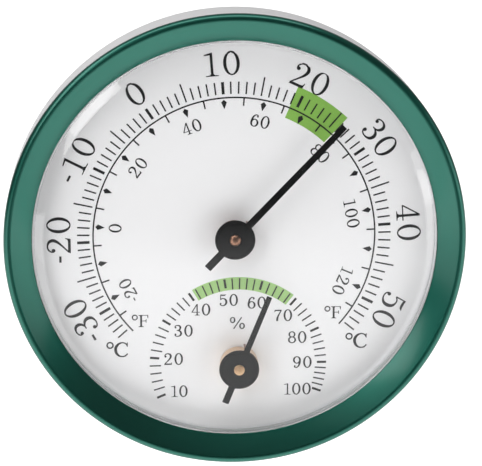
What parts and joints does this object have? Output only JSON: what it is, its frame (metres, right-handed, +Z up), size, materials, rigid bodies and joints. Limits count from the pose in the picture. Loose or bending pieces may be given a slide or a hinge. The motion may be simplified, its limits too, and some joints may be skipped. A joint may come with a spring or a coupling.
{
  "type": "dial thermo-hygrometer",
  "caption": "Round wall and desk thermo-hygrometer with a metal bezel, domed lens, printed dial, sprung pointers and a fold-out leg.",
  "frame": {"origin": "centre of the flat back, on the dial's axis", "axes": "+Z up on the dial, the dial faces -Y, +Y points into the wall, +X to the reader's right"},
  "size_m": [0.1006, 0.022, 0.1006],
  "materials": {
    "white_plastic": "moulded, satin",
    "ring_plastic": "moulded, matt",
    "screw_steel": "zinc plated",
    "green_anodised": "green anodised, finely brushed round the ring",
    "clear_lens": "clear, polished",
    "printed_card": "matt printed card",
    "plate_aluminium": "mill finish",
    "pointer_black": "charcoal paint on aluminium sheet",
    "brass": "turned",
    "bimetal": "rolled strip, dull",
    "copper_strip": "rolled strip, bright"
  },
  "bodies": {
    "case": {"housing": "white_plastic", "rear_cover": "white_plastic", "cover_screw_1": "screw_steel", "cover_screw_2": "screw_steel", "cover_screw_3": "screw_steel", "cover_screw_4": "screw_steel", "bezel": "green_anodised", "lens": "clear_lens", "spacer_ring": "ring_plastic", "dial_card": "printed_card", "dial_plate": "plate_aluminium", "stand_hinge_pin": "screw_steel", "humidity_spring_washer": "screw_steel", "temperature_post": "brass", "temperature_coil": "bimetal"},
    "temperature_needle": {"temperature_pointer": "pointer_black", "temperature_bush": "brass", "temperature_clip": "brass"},
    "humidity_adjuster": {"humidity_adjuster_post": "brass", "humidity_coil": "copper_strip"},
    "humidity_needle": {"humidity_pointer": "pointer_black", "humidity_bush": "brass", "humidity_clip": "brass"},
    "leg": {"stand_leg": "white_plastic"}
  },
  "joints": [
    {"name": "temperature_reading", "type": "hinge", "parent": "case", "child": "temperature_needle", "pos_m": [0, -0.0179, 0], "axis": [0, 1, 0], "range_deg": [-175.2, 85.9], "stiffness_Nm_per_rad": 0.001},
    {"name": "humidity_setting", "type": "hinge", "parent": "case", "child": "humidity_adjuster", "pos_m": [0, -0.0125, -0.02925], "axis": [0, 1, 0], "range_deg": [-8, 8]},
    {"name": "humidity_reading", "type": "hinge", "parent": "humidity_adjuster", "child": "humidity_needle", "pos_m": [0, -0.0189, -0.02925], "axis": [0, 1, 0], "range_deg": [-135.1, 88], "stiffness_Nm_per_rad": 0.001},
    {"name": "stand_fold", "type": "hinge", "parent": "case", "child": "leg", "pos_m": [0, -0.0016, -0.007], "axis": [1, 0, 0], "range_deg": [0, 25]}
  ]
}
